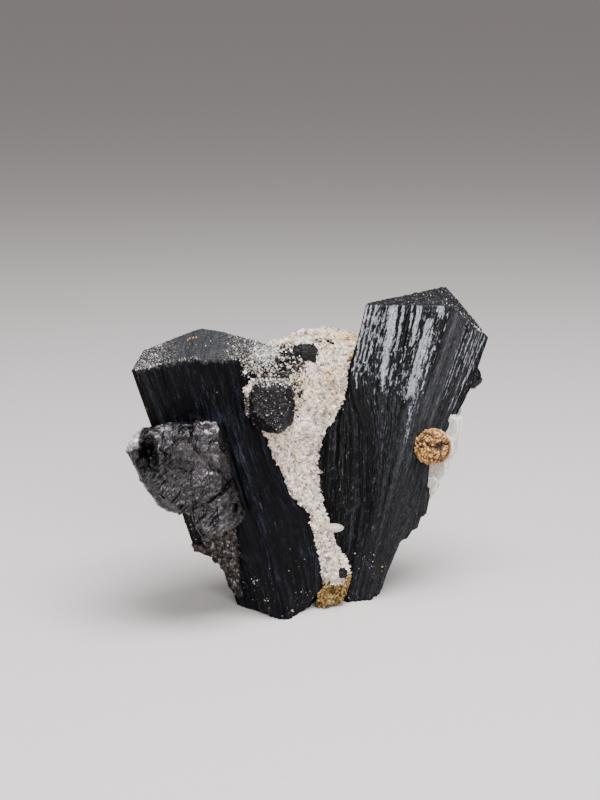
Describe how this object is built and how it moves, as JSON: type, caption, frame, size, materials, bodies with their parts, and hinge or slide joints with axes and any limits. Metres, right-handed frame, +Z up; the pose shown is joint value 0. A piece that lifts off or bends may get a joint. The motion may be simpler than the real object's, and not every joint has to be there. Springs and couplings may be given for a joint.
{
  "type": "ilvaite crystal specimen",
  "caption": "Mineral specimen: striated black ilvaite prisms in a V, joined by white granular quartz, with a tan ball and pale blades.",
  "frame": {"origin": "centre of the bounding box, at the height of the two crystals' cut feet", "axes": "+Z up, +X to the viewer's right along the widest extent, +Y away from the viewer through the thickness"},
  "size_m": [0.0801, 0.052, 0.0682],
  "materials": {
    "ilvaite": "black, striated, submetallic to satin",
    "drusy_ilvaite": "brown-black, sparkling rough faces",
    "quartz": "white to cream granular crust",
    "broken_mineral": "grey lustrous fracture",
    "rough_matrix": "dull grey-brown, rough",
    "siderite": "tan, granular",
    "calcite": "white, translucent, pearly",
    "stained_matrix": "rust-stained, earthy"
  },
  "bodies": {
    "root": {"left_ilvaite_crystal": "ilvaite", "right_ilvaite_crystal": "ilvaite", "small_ilvaite_crystal": "drusy_ilvaite", "druse_top_crystal": "drusy_ilvaite", "druse_foot_crystal": "drusy_ilvaite", "quartz_druse": "quartz", "broken_block": "broken_mineral", "rough_matrix": "rough_matrix", "siderite_ball": "siderite", "calcite_blades": "calcite", "stained_matrix": "stained_matrix"}
  },
  "joints": []
}
